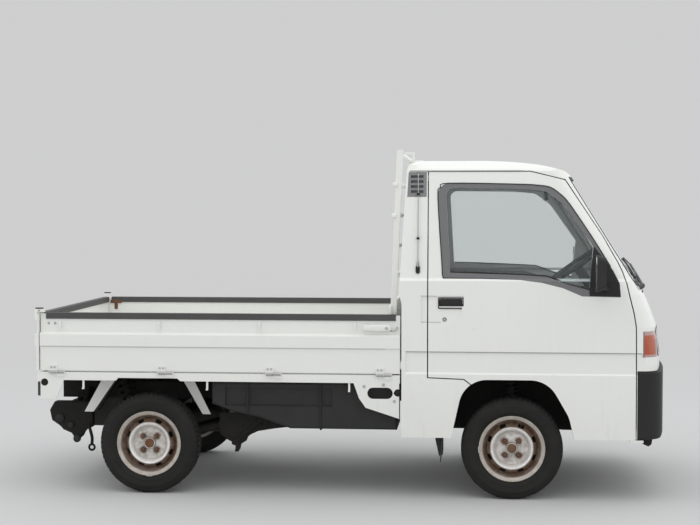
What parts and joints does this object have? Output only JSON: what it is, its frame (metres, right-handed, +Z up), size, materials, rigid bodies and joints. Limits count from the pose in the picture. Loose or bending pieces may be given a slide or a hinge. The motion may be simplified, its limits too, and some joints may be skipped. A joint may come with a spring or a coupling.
{
  "type": "kei truck with full cab and dropping bed gates",
  "caption": "Small white full-cab pickup with a flat bed, dropping side and rear gates, guard frame, opening doors, steered front wheels and free-turning pressed steel wheels.",
  "frame": {"origin": "on the ground under the middle of the truck's bounding box", "axes": "+X forward, +Y to the truck's left, +Z up"},
  "size_m": [3.302, 1.712, 1.788],
  "materials": {
    "white_paint": "gloss",
    "black_plastic": "satin",
    "black_rubber": "matte",
    "chassis_black": "matte",
    "engine_metal": "matte",
    "exhaust_steel": "matte",
    "window_glass": "gloss",
    "lamp_lens": "gloss",
    "red_lens": "gloss",
    "seat_cloth": "matte",
    "wheel_steel": "satin",
    "tyre_rubber": "matte"
  },
  "bodies": {
    "truck": {"chassis_frame": "chassis_black", "chassis_cross_members": "chassis_black", "body_mounts": "chassis_black", "window_seals": "black_rubber", "bed_beams": "white_paint", "bed_frame": "white_paint", "bed_floor": "white_paint", "bed_hinges": "white_paint", "guard_frame": "white_paint", "cab_roof": "white_paint", "cab_back_panel": "white_paint", "cab_side_right": "white_paint", "cab_side_left": "white_paint", "cab_floor": "white_paint", "cab_vents": "black_plastic", "front_panel": "white_paint", "front_bumper": "black_plastic", "front_lamps": "lamp_lens", "windscreen": "window_glass", "rear_window": "window_glass", "dashboard": "black_plastic", "steering_column": "black_plastic", "driver_seat": "seat_cloth", "passenger_seat": "seat_cloth", "rear_lamps": "red_lens", "wipers": "black_plastic", "rear_braces": "white_paint", "rear_wheel_liners": "black_plastic", "fuel_tank": "black_plastic", "powertrain": "engine_metal", "exhaust": "exhaust_steel", "rear_suspension": "chassis_black", "front_suspension": "chassis_black", "mud_flaps": "black_rubber"},
    "right_door": {"door_right": "white_paint", "window_frame_right": "black_plastic", "door_glass_right": "window_glass", "mirror_right": "black_plastic"},
    "left_door": {"door_left": "white_paint", "window_frame_left": "black_plastic", "door_glass_left": "window_glass", "mirror_left": "black_plastic"},
    "right_gate": {"side_gate_right": "white_paint", "gate_trim_right": "black_rubber"},
    "left_gate": {"side_gate_left": "white_paint", "gate_trim_left": "black_rubber"},
    "tail_gate": {"rear_gate": "white_paint", "gate_trim_rear": "black_rubber"},
    "right_knuckle": {"knuckle_right": "chassis_black"},
    "left_knuckle": {"knuckle_left": "chassis_black"},
    "front_right_wheel": {"wheel_front_right": "wheel_steel", "tyre_front_right": "tyre_rubber"},
    "front_left_wheel": {"wheel_front_left": "wheel_steel", "tyre_front_left": "tyre_rubber"},
    "rear_right_wheel": {"wheel_rear_right": "wheel_steel", "tyre_rear_right": "tyre_rubber"},
    "rear_left_wheel": {"wheel_rear_left": "wheel_steel", "tyre_rear_left": "tyre_rubber"},
    "steering_wheel_body": {"steering_wheel": "black_plastic"}
  },
  "joints": [
    {"name": "right_door_hinge", "type": "hinge", "parent": "truck", "child": "right_door", "pos_m": [1.439, -0.6925, 0.9], "axis": [0, 0, 1], "range_deg": [0, 65]},
    {"name": "left_door_hinge", "type": "hinge", "parent": "truck", "child": "left_door", "pos_m": [1.439, 0.6925, 0.9], "axis": [0, 0, -1], "range_deg": [0, 65]},
    {"name": "right_gate_hinge", "type": "hinge", "parent": "truck", "child": "right_gate", "pos_m": [-0.677, -0.6975, 0.635], "axis": [1, 0, 0], "range_deg": [0, 175]},
    {"name": "left_gate_hinge", "type": "hinge", "parent": "truck", "child": "left_gate", "pos_m": [-0.677, 0.6975, 0.635], "axis": [-1, 0, 0], "range_deg": [0, 175]},
    {"name": "tail_gate_hinge", "type": "hinge", "parent": "truck", "child": "tail_gate", "pos_m": [-1.644, 0, 0.635], "axis": [0, -1, 0], "range_deg": [0, 175]},
    {"name": "left_steer", "type": "hinge", "parent": "truck", "child": "left_knuckle", "pos_m": [0.835, 0.495, 0.26], "axis": [0, 0, 1], "range_deg": [-33, 33]},
    {"name": "right_steer", "type": "hinge", "parent": "truck", "child": "right_knuckle", "pos_m": [0.835, -0.495, 0.26], "axis": [0, 0, 1], "range_deg": [-33, 33]},
    {"name": "steering_wheel_turn", "type": "hinge", "parent": "truck", "child": "steering_wheel_body", "pos_m": [1.175, -0.33, 1.19], "axis": [-0.5736, 0, 0.8192], "range_deg": [-495, 495]},
    {"name": "front_right_spin", "type": "hinge", "parent": "right_knuckle", "child": "front_right_wheel", "pos_m": [0.835, -0.605, 0.26], "axis": [0, 1, 0], "continuous": true},
    {"name": "front_left_spin", "type": "hinge", "parent": "left_knuckle", "child": "front_left_wheel", "pos_m": [0.835, 0.605, 0.26], "axis": [0, 1, 0], "continuous": true},
    {"name": "rear_right_spin", "type": "hinge", "parent": "truck", "child": "rear_right_wheel", "pos_m": [-1.05, -0.605, 0.26], "axis": [0, 1, 0], "continuous": true},
    {"name": "rear_left_spin", "type": "hinge", "parent": "truck", "child": "rear_left_wheel", "pos_m": [-1.05, 0.605, 0.26], "axis": [0, 1, 0], "continuous": true}
  ],
  "couplings": [
    {"joint": "right_steer", "follows": "left_steer", "ratio": 1},
    {"joint": "steering_wheel_turn", "follows": "left_steer", "ratio": 15}
  ]
}
